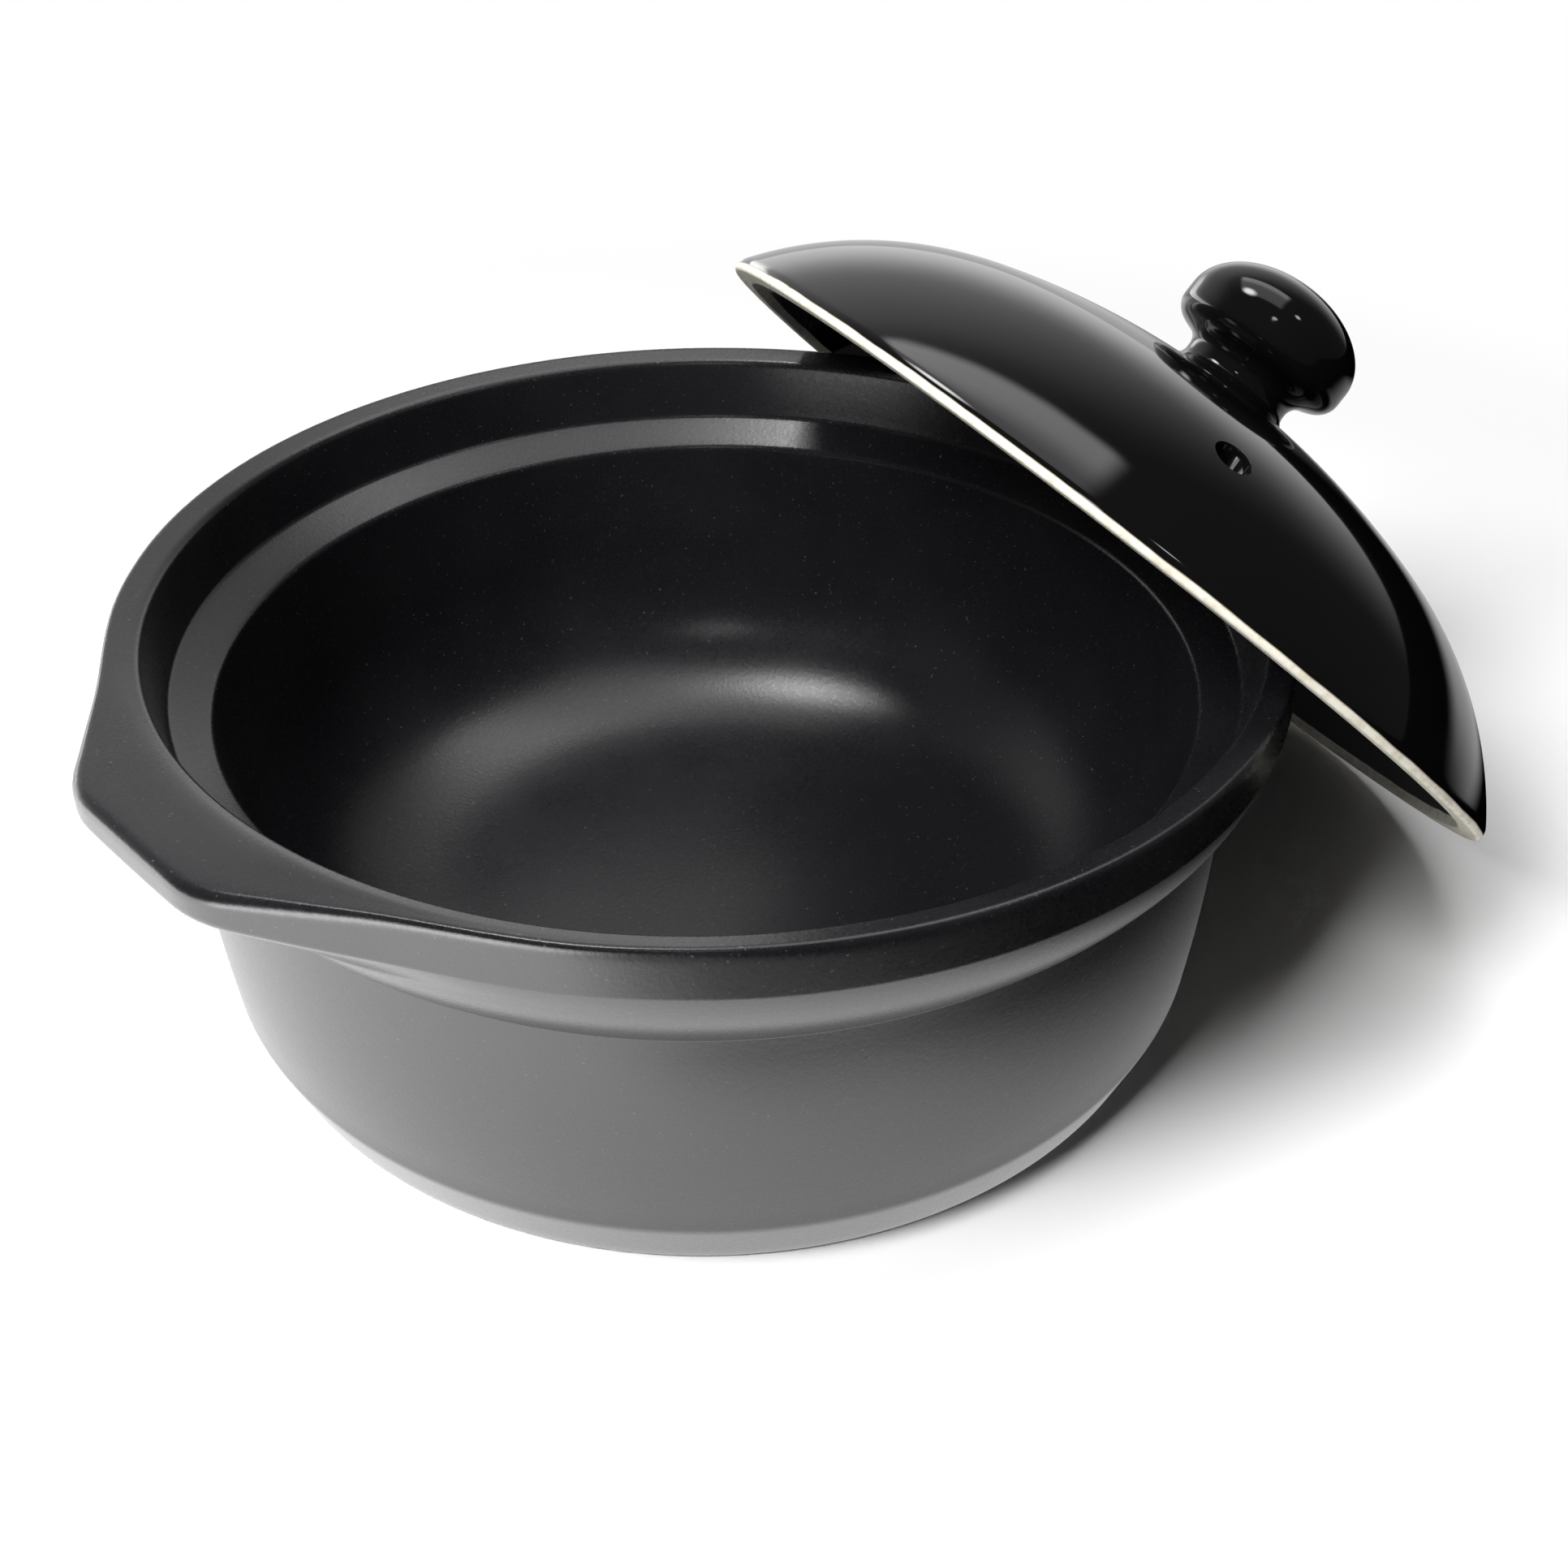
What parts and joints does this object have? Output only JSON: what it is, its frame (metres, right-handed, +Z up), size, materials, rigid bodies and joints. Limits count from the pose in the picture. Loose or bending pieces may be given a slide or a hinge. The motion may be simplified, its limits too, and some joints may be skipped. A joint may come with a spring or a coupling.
{
  "type": "dolsot",
  "caption": "Wide glazed stoneware cooking pot with two flat lug handles, its domed lid with knob and steam vent hung on the rim.",
  "frame": {"origin": "centre of the flat foot of the pot, on the surface that it stands on", "axes": "+Z up along the pot's axis, +X towards the right-hand lug, where the lid hangs"},
  "size_m": [0.294, 0.2451, 0.144],
  "materials": {
    "pot_glaze": "satin",
    "lug_handle_left_glaze": "satin",
    "lug_handle_right_glaze": "satin",
    "lid_glaze": "gloss",
    "knob_glaze": "gloss"
  },
  "bodies": {
    "pot": {"pot_body": "pot_glaze", "lug_handle_left": "lug_handle_left_glaze", "lug_handle_right": "lug_handle_right_glaze"},
    "lid": {"lid_shell": "lid_glaze", "lid_knob": "knob_glaze"}
  },
  "joints": [
    {"name": "lid_lift", "type": "slide", "parent": "pot", "child": "lid", "axis": [0, 0, 1], "range_m": [0, 0.1]}
  ]
}
